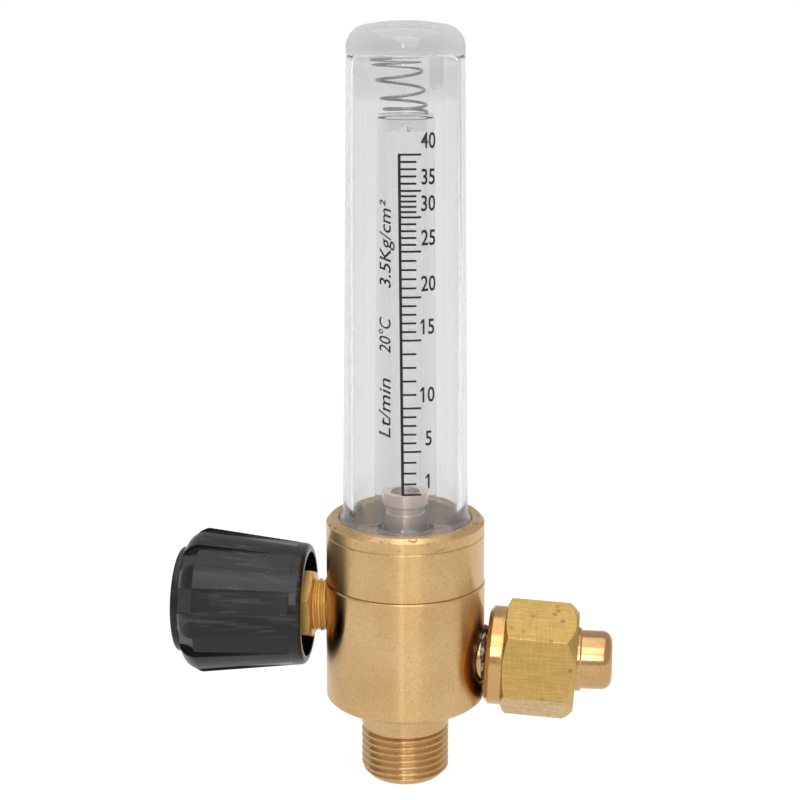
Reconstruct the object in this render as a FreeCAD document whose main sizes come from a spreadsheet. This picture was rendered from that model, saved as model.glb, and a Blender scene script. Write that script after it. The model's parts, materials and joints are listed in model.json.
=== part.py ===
# Oxygen flowmeter with a needle valve: a brass body on a G3/8 outlet thread, a clear cover over the
# metering tube, a fluted control knob on the left and an inlet nipple with a loose nut on the right.
# Millimetres. The origin is the centre of the outlet's end face, +Z runs up along the tube,
# +X runs out along the inlet nipple and -X runs out along the valve stem.

import FreeCAD, Part
import math
import os
import Sketcher

SIZES = {
    # Lower body, turned from 30 mm bar, with the outlet thread on its neck
    "body_dia": 30.0,
    "body_base": 15.5,
    "body_edge": 0.7,
    "joint_height": 5.9,
    "joint_edge": 0.25,
    "outlet_thread_dia": 16.662,
    "outlet_thread_run": 9.8,
    "outlet_end_chamfer": 1.4,
    "relief_width": 0.45,
    "relief_depth": 0.3,
    "outlet_bore_dia": 10.6,
    "outlet_bore_depth": 12.6,
    "drill_point": 2.0,
    "spigot_rise": 7.0,
    # Gas passages and the bores that open into them
    "inlet_height": 8.7,
    "inlet_bore_dia": 3.0,
    "riser_dia": 2.6,
    "valve_height": 8.8,
    "orifice_dia": 2.5,
    "seat_plane": 5.5,
    "chamber_dia": 6.6,
    "chamber_run": 3.1,
    "outlet_drill_offset": 3.9,
    "outlet_drill_dia": 2.6,
    "return_drill_offset": 7.2,
    "return_drill_dia": 2.2,
    # Clearances
    "thread_play": 0.05,
    "screw_play": 0.05,
    "shaft_play": 0.05,
    "slip_play": 0.05,
    # Clamp collar and the cover that it holds down
    "collar_dia": 29.66,
    "collar_wall": 1.33,
    "collar_rise": 12.3,
    "collar_chamfer": 0.8,
    "collar_line_width": 0.3,
    "collar_line_depth": 0.12,
    "lip_reach": 0.65,
    "flange_thick": 2.4,
    "flange_play": 0.4,
    "cover_seal_inset": 1.6,
    "cover_seal_width": 1.7,
    "cover_seal_groove": 1.15,
    "cover_gap": 0.7,
    "cover_taper": 1.15,
    "cover_rise": 96.1,
    "cover_corner": 4.0,
    "cover_crown": 0.6,
    "cover_wall_foot": 1.9,
    "cover_wall_head": 1.25,
    "cover_end_thick": 5.6,
    "cover_bore_corner": 1.5,
    "cover_flare": 0.6,
    "cover_flare_rise": 2.5,
    "peg_offset": 5.45,
    "peg_dia": 2.4,
    "peg_drop": 6.5,
    # Tube seat, screwed into the body and carrying the metering tube
    "seat_thread_dia": 6.0,
    "seat_thread_run": 5.4,
    "seat_socket_spare": 0.4,
    "seat_washer_thick": 0.5,
    "seat_flange_dia": 11.2,
    "seat_flange_thick": 1.2,
    "seat_neck_dia": 7.2,
    "seat_head_dia": 8.2,
    "seat_head_rise": 8.6,
    "seat_head_thick": 2.3,
    "seat_ring_depth": 0.25,
    "seat_ring_width": 0.5,
    "seat_ring_drop": 1.2,
    "cup_play": 0.15,
    "cup_depth": 4.2,
    "tube_seal_thick": 1.1,
    "tube_seal_width": 1.4,
    # Metering tube, float, stop and spring
    "tube_foot_dia": 11.6,
    "tube_head_dia": 10.2,
    "tube_bore_widening": 1.05,
    "ball_dia": 5.0,
    "stop_plug_run": 2.2,
    "stop_bore_dia": 2.0,
    "stop_flange_dia": 9.8,
    "stop_flange_thick": 0.8,
    "stop_slot_width": 1.2,
    "stop_slot_depth": 0.9,
    "spring_run": 10.5,
    "spring_wire_dia": 0.52,
    "spring_foot_dia": 7.45,
    "spring_head_dia": 8.9,
    "spring_lean": 1.9,
    "spring_turns": 4.75,
    # Valve bonnet
    "bonnet_thread_dia": 10.0,
    "bonnet_hex_start": 2.3,
    "bonnet_hex_run": 8.0,
    "bonnet_hex_flats": 12.0,
    "bonnet_hex_turn": 23.5,
    "bonnet_washer_thick": 0.8,
    "bonnet_washer_bore": 6.8,
    "bonnet_bore_dia": 6.0,
    "gland_bore_dia": 5.0,
    "gland_wall": 6.7,
    # Stem, poppet and their seals
    "stem_shoulder": 2.1,
    "stem_end": 2.1,
    "stem_flat": 1.9,
    "stem_flat_run": 10.0,
    "stem_seal_place": 1.8,
    "stem_seal_width": 1.4,
    "stem_seal_thick": 0.75,
    "poppet_dia": 5.2,
    "poppet_back": 2.5,
    "poppet_face": 0.4,
    "poppet_stub_dia": 2.2,
    "poppet_stub_run": 2.4,
    "stem_gap": 0.03,
    "disc_dia": 3.6,
    "disc_thick": 1.0,
    # Control knob, its screw and its cap
    "knob_rim": 1.1,
    "knob_rim_dia": 23.1,
    "knob_rim_round": 1.1,
    "knob_shoulder": 20.0,
    "knob_dia": 27.5,
    "knob_end": 3.5,
    "knob_end_dia": 20.4,
    "knob_shoulder_round": 4.4,
    "knob_wall": 1.6,
    "knob_end_wall": 2.2,
    "knob_hub_dia": 9.0,
    "knob_cap_recess": 1.8,
    "knob_cap_spigot_dia": 12.0,
    "flute_count": 9,
    "flute_width": 4.7,
    "flute_turn": 18.0,
    "flute_start": 2.2,
    "flute_depth_rim": 0.35,
    "flute_depth_end": 0.9,
    "cap_dia": 20.0,
    "cap_thick": 1.4,
    "cap_round": 0.5,
    "cap_wall": 1.0,
    "screw_dia": 2.9,
    "screw_run": 7.4,
    "screw_head_dia": 5.4,
    "screw_head_thick": 1.5,
    "screw_slot_width": 0.7,
    "screw_slot_depth": 0.7,
    # Inlet nipple, its sealant, filter and nut
    "nipple_thread_dia": 10.0,
    "nipple_start": 5.5,
    "nipple_thread_run": 0.2,
    "nipple_shank_dia": 9.4,
    "nipple_flange_place": 0.9,
    "nipple_flange_thick": 2.5,
    "nipple_flange_dia": 14.4,
    "nipple_bore_dia": 3.0,
    "nose_dia": 11.0,
    "nose_relief_dia": 10.4,
    "nose_land_start": 10.5,
    "nose_end": 6.6,
    "nose_round": 2.0,
    "filter_dia": 5.8,
    "filter_thick": 1.8,
    "sealant_thick": 0.4,
    "sealant_start": 1.1,
    "sealant_run": 1.3,
    "nut_flats": 19.3,
    "nut_turn": 8.3,
    "nut_run": 16.8,
    "nut_collar_run": 3.1,
    "nut_collar_dia": 18.6,
    "nut_collar_chamfer": 0.8,
    "nut_wall": 3.0,
    "nut_back_play": 0.4,
    "nut_thread_play": 0.275,
    "nut_face_gap": 0.7,
    "nut_droop": 3.0,
    "nut_sag": 0.02,
    "nut_end_chamfer": 1.9,
    "hex_chamfer_angle": 25.0,
    "end_chamfer_angle": 45.0,
}

# Places that follow from the sizes, each written once. Heights run up from the outlet's end face.
INLET = "(Sizes.body_base + Sizes.inlet_height)"
VALVE = "({} + Sizes.valve_height)".format(INLET)
JOINT = "({} + Sizes.joint_height)".format(VALVE)
SPIGOT_TOP = "({} + Sizes.spigot_rise)".format(JOINT)
COLLAR_TOP = "({} + Sizes.collar_rise)".format(JOINT)
FLANGE_TOP = "({} + Sizes.flange_thick)".format(SPIGOT_TOP)
COVER_TOP = "({} + Sizes.cover_rise)".format(SPIGOT_TOP)
DOME_FLOOR = "({} - Sizes.cover_end_thick)".format(COVER_TOP)
SEAT_FLANGE = "({} + Sizes.seat_washer_thick)".format(SPIGOT_TOP)
SEAT_DECK = "({} + Sizes.seat_flange_thick)".format(SEAT_FLANGE)
SEAT_TOP = "({} + Sizes.seat_head_rise)".format(SEAT_DECK)
SEAT_SOCKET = "({} - Sizes.seat_thread_run - Sizes.seat_socket_spare)".format(SPIGOT_TOP)
TUBE_FOOT = "({} + Sizes.tube_seal_thick)".format(SEAT_DECK)
TUBE_SHOULDER = "({} + 2 * Sizes.slip_play)".format(SEAT_TOP)
STOP_TOP = "({} - Sizes.spring_run)".format(DOME_FLOOR)
TUBE_TOP = "({} - Sizes.stop_flange_thick)".format(STOP_TOP)
STOP_FLOOR = "({} - Sizes.stop_plug_run)".format(TUBE_TOP)
CUP_FLOOR = "({} - Sizes.cup_depth)".format(SEAT_TOP)

# Radii about the tube's axis, from the body inwards
BODY_R = "Sizes.body_dia / 2"
COLLAR_R = "Sizes.collar_dia / 2"
SPIGOT_R = "({} - Sizes.collar_wall - Sizes.thread_play)".format(COLLAR_R)
FLANGE_R = "({} - Sizes.flange_play)".format(SPIGOT_R)
COVER_SEAL_R = "({} - Sizes.cover_seal_inset)".format(FLANGE_R)
LIP_R = "({} - Sizes.lip_reach)".format(FLANGE_R)
COVER_FOOT_R = "({} - Sizes.cover_gap)".format(LIP_R)
COVER_HEAD_R = "({} - Sizes.cover_taper)".format(COVER_FOOT_R)
COVER_BORE_FOOT_R = "({} - Sizes.cover_wall_foot)".format(COVER_FOOT_R)
COVER_BORE_HEAD_R = "({} - Sizes.cover_wall_head)".format(COVER_HEAD_R)
CUP_R = "(Sizes.ball_dia / 2 + Sizes.cup_play)"
TUBE_BORE_HEAD_R = "({} + Sizes.tube_bore_widening)".format(CUP_R)
OUTLET_R = "Sizes.outlet_thread_dia / 2"
# The ball lies in a cone of 90 degrees, whose point is the cup's radius below the cup's floor
BALL_REST = "({} - {} + Sizes.ball_dia / 2 * sqrt(2))".format(CUP_FLOOR, CUP_R)

# Places on the valve's axis and on the inlet's, each a distance from the tube's axis
CHAMBER_END = "(Sizes.seat_plane + Sizes.chamber_run)"
POPPET_BACK = "(Sizes.seat_plane + Sizes.poppet_back)"
BONNET_START = "({} + Sizes.bonnet_washer_thick)".format(CHAMBER_END)
HEX_START = "({} + Sizes.bonnet_hex_start)".format(BODY_R)
BONNET_END = "({} + Sizes.bonnet_hex_run)".format(HEX_START)
GLAND_STEP = "({} - Sizes.gland_wall)".format(BONNET_END)
STEM_SHOULDER = "({} - Sizes.stem_shoulder)".format(GLAND_STEP)
STEM_SEAL = "({} + Sizes.stem_seal_place)".format(GLAND_STEP)
KNOB_RIM = "({} + Sizes.knob_rim)".format(HEX_START)
FLUTE_START = "({} + Sizes.flute_start)".format(KNOB_RIM)
KNOB_SHOULDER = "({} + Sizes.knob_shoulder)".format(KNOB_RIM)
KNOB_END = "({} + Sizes.knob_end)".format(KNOB_SHOULDER)
KNOB_DECK = "({} - Sizes.knob_cap_recess)".format(KNOB_END)
STEM_END = "({} - Sizes.stem_end)".format(KNOB_DECK)
NIPPLE_START = "({} - Sizes.nipple_start)".format(BODY_R)
NIPPLE_THREAD_END = "({} + Sizes.nipple_thread_run)".format(BODY_R)
SEALANT_START = "({} - Sizes.sealant_start)".format(BODY_R)
NUT_FACE = "({} + Sizes.nut_face_gap)".format(BODY_R)
NIPPLE_FLANGE = "({} + Sizes.nut_wall + Sizes.nipple_flange_place)".format(NUT_FACE)
FLANGE_END = "({} + Sizes.nipple_flange_thick)".format(NIPPLE_FLANGE)
NOSE_LAND = "({} + Sizes.nose_land_start)".format(FLANGE_END)
NOSE_END = "({} + Sizes.nose_end)".format(NOSE_LAND)
NUT_PIVOT = "({} + Sizes.nipple_flange_thick / 2)".format(NIPPLE_FLANGE)

# Length of the line that marks an axis in a sketch
AXIS_LINE = 10

# Arcs that each turn of the spring is made of
ARCS_PER_TURN = 6

doc = FreeCAD.newDocument("Flowmeter")
sheet = doc.addObject("Spreadsheet::Sheet", "Sizes")
for row, (alias, number) in enumerate(SIZES.items(), start=1):
    sheet.set("A%d" % row, alias)
    sheet.set("B%d" % row, str(number))
    sheet.setAlias("B%d" % row, alias)
doc.recompute()

sub_parts = []


def value(expression):
    """The number that an expression gives with the sheet's sizes."""
    return float(sheet.evalExpression(expression))


def origin_plane(body, role):
    """One of a body's own origin planes."""
    return next(item for item in body.Origin.OriginFeatures if item.Role == role)


def new_body(label, axis=None, height=None):
    """An empty body. axis "left" or "right" lays its own Z axis along -X or +X, at a height."""
    body = doc.addObject("PartDesign::Body", label)
    body.Label = label
    if axis:
        tilt = {"left": -90, "right": 90}[axis]
        rotation = FreeCAD.Rotation(FreeCAD.Vector(0, 1, 0), tilt)
        body.Placement = FreeCAD.Placement(FreeCAD.Vector(0, 0, value(height)), rotation)
        body.setExpression("Placement.Base.z", height)
    sub_parts.append(body)
    return body


def pin_coordinate(sketch, kind, geometry, point, expression):
    """Ties one coordinate of a sketch point to an expression."""
    if expression == "0":
        line = -2 if kind == "DistanceX" else -1
        sketch.addConstraint(Sketcher.Constraint("PointOnObject", geometry, point, line))
        return
    number = value(expression)
    if number < 0:
        constraint = Sketcher.Constraint(kind, geometry, point, -1, 1, -number)
        expression = "-(%s)" % expression
    else:
        constraint = Sketcher.Constraint(kind, -1, 1, geometry, point, number)
    index = sketch.addConstraint(constraint)
    sketch.setExpression("Constraints[%d]" % index, expression)


def arc_between(start, end, radius, side):
    """A round edge between two points, its centre to the "left" or "right" of the way from start to end."""
    chord = end - start
    middle = (start + end) * 0.5
    reach = math.sqrt(max(radius * radius - chord.Length ** 2 / 4, 0.0))
    across = FreeCAD.Vector(-chord.y, chord.x, 0)
    across.normalize()
    if side == "right":
        across = across * -1
    centre = middle + across * reach
    circle = Part.Circle(centre, FreeCAD.Vector(0, 0, 1), radius)
    first, last = (start, end) if side == "left" else (end, start)
    angles = [math.atan2(spot.y - centre.y, spot.x - centre.x) for spot in (first, last)]
    if angles[1] < angles[0]:
        angles[1] += 2 * math.pi
    return Part.ArcOfCircle(circle, angles[0], angles[1])


def outline_sketch(body, name, points, role="XZ_Plane", lift=None, axis=None):
    """A closed outline. A point is (x, y), or (x, y, radius, side) where a round edge leaves it.
    lift raises the sketch along its plane's normal. axis is ("x", y) or ("y", x), a line to turn about."""
    sketch = body.newObject("Sketcher::SketchObject", name)
    sketch.AttachmentSupport = [(origin_plane(body, role), "")]
    sketch.MapMode = "FlatFace"
    if lift:
        sketch.setExpression("AttachmentOffset.Base.z", lift)
    spots = [FreeCAD.Vector(value(point[0]), value(point[1]), 0) for point in points]
    ends = []
    for number, point in enumerate(points):
        start = spots[number]
        end = spots[(number + 1) % len(points)]
        if len(point) == 4:
            edge = arc_between(start, end, value(point[2]), point[3])
            geometry = sketch.addGeometry(edge, False)
            ends.append((geometry, 1, 2) if point[3] == "left" else (geometry, 2, 1))
            index = sketch.addConstraint(Sketcher.Constraint("Radius", geometry, value(point[2])))
            sketch.setExpression("Constraints[%d]" % index, point[2])
        else:
            geometry = sketch.addGeometry(Part.LineSegment(start, end), False)
            ends.append((geometry, 1, 2))
    for number, point in enumerate(points):
        before = ends[number - 1]
        here = ends[number]
        sketch.addConstraint(Sketcher.Constraint("Coincident", before[0], before[2], here[0], here[1]))
        pin_coordinate(sketch, "DistanceX", here[0], here[1], point[0])
        pin_coordinate(sketch, "DistanceY", here[0], here[1], point[1])
    if axis:
        add_axis(sketch, axis)
    return sketch


def add_axis(sketch, axis):
    """A construction line to turn an outline about, parallel to one of the sketch's axes."""
    place = value(axis[1])
    if axis[0] == "x":
        ends = (FreeCAD.Vector(0, place, 0), FreeCAD.Vector(AXIS_LINE, place, 0))
        along, across, line = "Horizontal", "DistanceY", -2
    else:
        ends = (FreeCAD.Vector(place, 0, 0), FreeCAD.Vector(place, AXIS_LINE, 0))
        along, across, line = "Vertical", "DistanceX", -1
    geometry = sketch.addGeometry(Part.LineSegment(*ends), True)
    sketch.addConstraint(Sketcher.Constraint(along, geometry))
    sketch.addConstraint(Sketcher.Constraint("PointOnObject", geometry, 1, line))
    pin_coordinate(sketch, across, geometry, 1, axis[1])
    sketch.addConstraint(Sketcher.Constraint("Distance", geometry, AXIS_LINE))


def turned(body, name, points, cut=False, axis=None):
    """A full turn of an outline in the XZ plane about the body's Z axis, or about axis."""
    sketch = outline_sketch(body, name + "_outline", points, axis=axis)
    feature = body.newObject("PartDesign::Groove" if cut else "PartDesign::Revolution", name)
    feature.Profile = sketch
    feature.ReferenceAxis = (sketch, ["Axis0" if axis else "V_Axis"])
    feature.Angle = 360
    body.Tip = feature
    return feature


def extruded(body, name, sketch, length, cut=False, midplane=False):
    """A sketch raised or cut to a length. midplane shares the length between both sides."""
    feature = body.newObject("PartDesign::Pocket" if cut else "PartDesign::Pad", name)
    feature.Profile = sketch
    feature.Length = value(length)
    feature.setExpression("Length", length)
    feature.Midplane = midplane
    body.Tip = feature
    return feature


def hexagon(flats, turn):
    """The corners of a hexagon, its first corner turned by an angle from the sketch's x axis."""
    corner = "%s / sqrt(3)" % flats
    angles = ["(%s + %d)" % (turn, 60 * number) for number in range(6)]
    return [("%s * cos(%s)" % (corner, angle), "%s * sin(%s)" % (corner, angle)) for angle in angles]


def corner_cut(body, name, flats, place, way, round_r, angle):
    """Turns the corners off one end of a hexagon, from a circle of round_r at the end outwards.
    way is 1 where the solid lies above place, and -1 where it lies below."""
    reach = "(%s / sqrt(3) + 1)" % flats
    sign = "+" if way == 1 else "-"
    rise = "(%s - (%s)) * tan(%s)" % (reach, round_r, angle)
    points = [(round_r, place), (reach, place), (reach, "%s %s %s" % (place, sign, rise))]
    return turned(body, name, points, cut=True)


def seal_outline(inner, width, low, thick):
    """The section of a squeezed ring: flat where it is pressed, round inside and outside."""
    bulge = "%s * 0.6" % thick
    inset = "%s * 0.2" % width
    high = "%s + %s" % (low, thick)
    left = "%s + %s" % (inner, inset)
    right = "%s + %s - %s" % (inner, width, inset)
    return [(left, low), (right, low, bulge, "left"), (right, high), (left, high, bulge, "left")]


def ring(label, inner, outer, low, thick, axis=None, height=None):
    """A flat washer."""
    body = new_body(label, axis, height)
    high = "%s + %s" % (low, thick)
    turned(body, label + "_ring", [(inner, low), (outer, low), (outer, high), (inner, high)])
    return body


def turn_with_knob(body):
    """Turns the knob, or the stem that its flat drives, so that the first flute faces the side that is
    seen, above the horizontal by the flutes' turn."""
    turn = FreeCAD.Rotation(FreeCAD.Vector(0, 0, 1), value("Sizes.flute_turn") - 90)
    body.Placement.Rotation = body.Placement.Rotation.multiply(turn)


def lower_body():
    """The turned brass body: outlet neck, spigot for the collar, and the drilled gas passages."""
    body = new_body("lower_body")
    chamfer = "Sizes.outlet_end_chamfer"
    relief = "%s - Sizes.relief_depth" % OUTLET_R
    relief_top = "Sizes.outlet_thread_run + Sizes.relief_width"
    turned(body, "bar", [
        ("0", "0"),
        ("%s - %s" % (OUTLET_R, chamfer), "0"),
        (OUTLET_R, chamfer),
        (OUTLET_R, "Sizes.outlet_thread_run"),
        (relief, "Sizes.outlet_thread_run"),
        (relief, relief_top),
        (OUTLET_R, relief_top),
        (OUTLET_R, "Sizes.body_base"),
        ("%s - Sizes.body_edge" % BODY_R, "Sizes.body_base"),
        (BODY_R, "Sizes.body_base + Sizes.body_edge"),
        (BODY_R, "%s - Sizes.joint_edge" % JOINT),
        ("%s - Sizes.joint_edge" % BODY_R, JOINT),
        (SPIGOT_R, JOINT),
        (SPIGOT_R, SPIGOT_TOP),
        ("0", SPIGOT_TOP),
    ])
    turned(body, "outlet_bore", [
        ("0", "0"),
        ("Sizes.outlet_bore_dia / 2", "0"),
        ("Sizes.outlet_bore_dia / 2", "Sizes.outlet_bore_depth"),
        ("0", "Sizes.outlet_bore_depth + Sizes.drill_point"),
    ], cut=True)
    turned(body, "seat_socket", [
        ("0", INLET),
        ("Sizes.riser_dia / 2", INLET),
        ("Sizes.riser_dia / 2", SEAT_SOCKET),
        ("Sizes.seat_thread_dia / 2", SEAT_SOCKET),
        ("Sizes.seat_thread_dia / 2", SPIGOT_TOP),
        ("0", SPIGOT_TOP),
    ], cut=True)
    groove_in = "%s - Sizes.cover_seal_width / 2 - Sizes.slip_play" % COVER_SEAL_R
    groove_out = "%s + Sizes.cover_seal_width / 2 + Sizes.slip_play" % COVER_SEAL_R
    groove_floor = "%s - Sizes.cover_seal_groove" % SPIGOT_TOP
    turned(body, "seal_groove", [
        (groove_in, groove_floor),
        (groove_out, groove_floor),
        (groove_out, SPIGOT_TOP),
        (groove_in, SPIGOT_TOP),
    ], cut=True)
    centre = INLET
    mouth = "%s + 1" % BODY_R
    filter_start = "%s - Sizes.filter_thick" % NIPPLE_START
    filter_r = "%s + Sizes.filter_dia / 2 + Sizes.slip_play" % centre
    thread_r = "%s + Sizes.nipple_thread_dia / 2 + Sizes.thread_play" % centre
    sealant_r = "%s + Sizes.sealant_thick + Sizes.slip_play" % thread_r
    bore_r = "%s + Sizes.inlet_bore_dia / 2" % centre
    turned(body, "inlet_bore", [
        ("0", centre),
        (mouth, centre),
        (mouth, sealant_r),
        (SEALANT_START, sealant_r),
        (SEALANT_START, thread_r),
        (NIPPLE_START, thread_r),
        (NIPPLE_START, filter_r),
        (filter_start, filter_r),
        (filter_start, bore_r),
        ("0", bore_r),
    ], cut=True, axis=("x", centre))
    centre = VALVE
    bonnet_r = "%s + Sizes.bonnet_thread_dia / 2 + Sizes.thread_play" % centre
    chamber_r = "%s + Sizes.chamber_dia / 2" % centre
    orifice_r = "%s + Sizes.orifice_dia / 2" % centre
    turned(body, "valve_bore", [
        ("-(%s)" % mouth, centre),
        ("-(%s)" % mouth, bonnet_r),
        ("-%s" % CHAMBER_END, bonnet_r),
        ("-%s" % CHAMBER_END, chamber_r),
        ("-Sizes.seat_plane", chamber_r),
        ("-Sizes.seat_plane", orifice_r),
        ("-Sizes.outlet_drill_offset", orifice_r),
        ("-Sizes.outlet_drill_offset", centre),
    ], cut=True, axis=("x", centre))
    drill_side = "-Sizes.outlet_drill_offset + Sizes.outlet_drill_dia / 2"
    turned(body, "outlet_drill", [
        ("-Sizes.outlet_drill_offset", "Sizes.outlet_bore_depth - 1"),
        (drill_side, "Sizes.outlet_bore_depth - 1"),
        (drill_side, centre),
        ("-Sizes.outlet_drill_offset", "%s + Sizes.outlet_drill_dia / 4" % centre),
    ], cut=True, axis=("y", "-Sizes.outlet_drill_offset"))
    drill_side = "-Sizes.return_drill_offset + Sizes.return_drill_dia / 2"
    turned(body, "return_drill", [
        ("-Sizes.return_drill_offset", centre),
        (drill_side, centre),
        (drill_side, SPIGOT_TOP),
        ("-Sizes.return_drill_offset", SPIGOT_TOP),
    ], cut=True, axis=("y", "-Sizes.return_drill_offset"))


def clamp_collar():
    """The ring nut that screws on the spigot and clamps the cover's flange under its lip."""
    body = new_body("clamp_collar")
    bore = "%s + Sizes.thread_play" % SPIGOT_R
    line_low = "%s - Sizes.collar_line_width / 2" % FLANGE_TOP
    line_high = "%s + Sizes.collar_line_width / 2" % FLANGE_TOP
    turned(body, "collar", [
        (bore, JOINT),
        ("%s - Sizes.joint_edge" % COLLAR_R, JOINT),
        (COLLAR_R, "%s + Sizes.joint_edge" % JOINT),
        (COLLAR_R, line_low),
        ("%s - Sizes.collar_line_depth" % COLLAR_R, FLANGE_TOP),
        (COLLAR_R, line_high),
        (COLLAR_R, "%s - Sizes.collar_chamfer" % COLLAR_TOP),
        ("%s - Sizes.collar_chamfer" % COLLAR_R, COLLAR_TOP),
        ("%s + Sizes.joint_edge" % LIP_R, COLLAR_TOP),
        (LIP_R, "%s - Sizes.joint_edge" % COLLAR_TOP),
        (LIP_R, FLANGE_TOP),
        (bore, FLANGE_TOP),
    ])


def clear_cover():
    """The moulded clear cover: a clamped flange, a slightly tapered wall, a thick flat end with a
    rounded corner, and a peg that hangs from the end beside the spring."""
    body = new_body("clear_cover")
    neck_r = "%s - Sizes.slip_play" % LIP_R
    flare_top = "%s + Sizes.cover_flare_rise" % FLANGE_TOP
    corner_low = "%s - Sizes.cover_crown - Sizes.cover_corner" % COVER_TOP
    turned(body, "shell", [
        (COVER_BORE_FOOT_R, SPIGOT_TOP),
        (FLANGE_R, SPIGOT_TOP),
        (FLANGE_R, FLANGE_TOP),
        (neck_r, FLANGE_TOP),
        (neck_r, "%s - Sizes.cover_flare" % flare_top),
        (COVER_FOOT_R, flare_top),
        (COVER_HEAD_R, corner_low, "Sizes.cover_corner", "left"),
        ("%s - Sizes.cover_corner" % COVER_HEAD_R, "%s - Sizes.cover_crown" % COVER_TOP),
        ("0", COVER_TOP),
        ("0", DOME_FLOOR),
        ("%s - Sizes.cover_bore_corner" % COVER_BORE_HEAD_R, DOME_FLOOR, "Sizes.cover_bore_corner", "right"),
        (COVER_BORE_HEAD_R, "%s - Sizes.cover_bore_corner" % DOME_FLOOR),
    ])
    peg_r = "Sizes.peg_dia / 2"
    peg_side = "Sizes.peg_offset + %s" % peg_r
    peg_end = "(%s - Sizes.peg_drop)" % DOME_FLOOR
    turned(body, "peg", [
        ("Sizes.peg_offset", peg_end, peg_r, "left"),
        (peg_side, "%s + %s" % (peg_end, peg_r)),
        (peg_side, "%s + Sizes.cover_end_thick / 2" % DOME_FLOOR),
        ("Sizes.peg_offset", "%s + Sizes.cover_end_thick / 2" % DOME_FLOOR),
    ], axis=("y", "Sizes.peg_offset"))


def cover_seal():
    """The ring in the spigot's groove, squeezed by the cover's flange."""
    body = new_body("cover_seal")
    inner = "(%s - Sizes.cover_seal_width / 2)" % COVER_SEAL_R
    low = "%s - Sizes.cover_seal_groove" % SPIGOT_TOP
    turned(body, "seal", seal_outline(inner, "Sizes.cover_seal_width", low, "Sizes.cover_seal_groove"))


def tube_seat():
    """The brass pedestal that carries the metering tube, with the cup that the float rests in."""
    body = new_body("tube_seat")
    bore_r = "Sizes.riser_dia / 2"
    thread_r = "Sizes.seat_thread_dia / 2 - Sizes.thread_play"
    foot = "%s - Sizes.seat_thread_run" % SPIGOT_TOP
    flange_r = "Sizes.seat_flange_dia / 2"
    neck_r = "Sizes.seat_neck_dia / 2"
    head_r = "Sizes.seat_head_dia / 2"
    head_low = "(%s - Sizes.seat_head_thick)" % SEAT_TOP
    step = "(Sizes.seat_head_dia - Sizes.seat_neck_dia) / 2"
    ring_r = "%s - Sizes.seat_ring_depth" % neck_r
    ring_top = "%s - Sizes.seat_ring_drop" % head_low
    ring_low = "%s - Sizes.seat_ring_width" % ring_top
    turned(body, "pedestal", [
        (bore_r, foot),
        (thread_r, foot),
        (thread_r, SEAT_FLANGE),
        (flange_r, SEAT_FLANGE),
        (flange_r, SEAT_DECK),
        (neck_r, SEAT_DECK),
        (neck_r, ring_low),
        (ring_r, ring_low),
        (ring_r, ring_top),
        (neck_r, ring_top),
        (neck_r, "%s - %s" % (head_low, step)),
        (head_r, head_low),
        (head_r, SEAT_TOP),
        (CUP_R, SEAT_TOP),
        (CUP_R, CUP_FLOOR),
        (bore_r, "%s - (%s - %s)" % (CUP_FLOOR, CUP_R, bore_r)),
    ])


def tube_seal():
    """The ring between the seat's flange and the foot of the metering tube."""
    body = new_body("tube_seal")
    inner = "Sizes.seat_head_dia / 2 + Sizes.slip_play"
    turned(body, "seal", seal_outline(inner, "Sizes.tube_seal_width", SEAT_DECK, "Sizes.tube_seal_thick"))


def metering_tube():
    """The clear tube that stands over the seat, its bore widening upwards."""
    body = new_body("metering_tube")
    socket_r = "Sizes.seat_head_dia / 2 + Sizes.slip_play"
    turned(body, "tube", [
        (socket_r, TUBE_FOOT),
        ("Sizes.tube_foot_dia / 2", TUBE_FOOT),
        ("Sizes.tube_head_dia / 2", TUBE_TOP),
        (TUBE_BORE_HEAD_R, TUBE_TOP),
        (TUBE_BORE_HEAD_R, STOP_FLOOR),
        (CUP_R, TUBE_SHOULDER),
        (socket_r, TUBE_SHOULDER),
    ])


def float_stop():
    """The clear stop pressed into the tube's mouth, drilled and slotted to let gas past the float."""
    body = new_body("float_stop")
    plug_r = "%s - Sizes.slip_play" % TUBE_BORE_HEAD_R
    turned(body, "plug", [
        ("Sizes.stop_bore_dia / 2", STOP_FLOOR),
        (plug_r, STOP_FLOOR),
        (plug_r, TUBE_TOP),
        ("Sizes.stop_flange_dia / 2", TUBE_TOP),
        ("Sizes.stop_flange_dia / 2", STOP_TOP),
        ("Sizes.stop_bore_dia / 2", STOP_TOP),
    ])
    half = "Sizes.stop_slot_width / 2"
    slot_top = "%s + Sizes.stop_slot_depth" % STOP_FLOOR
    sketch = outline_sketch(body, "slot_outline", [
        ("-%s" % half, STOP_FLOOR),
        (half, STOP_FLOOR),
        (half, slot_top),
        ("-%s" % half, slot_top),
    ])
    extruded(body, "slot", sketch, "4 * %s" % TUBE_BORE_HEAD_R, cut=True, midplane=True)


def float_ball():
    """The steel ball, at rest in the seat's cup."""
    ball = doc.addObject("Part::Sphere", "float_ball")
    ball.Label = "float_ball"
    ball.setExpression("Radius", "Sizes.ball_dia / 2")
    ball.setExpression("Placement.Base.z", BALL_REST)
    sub_parts.append(ball)


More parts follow.
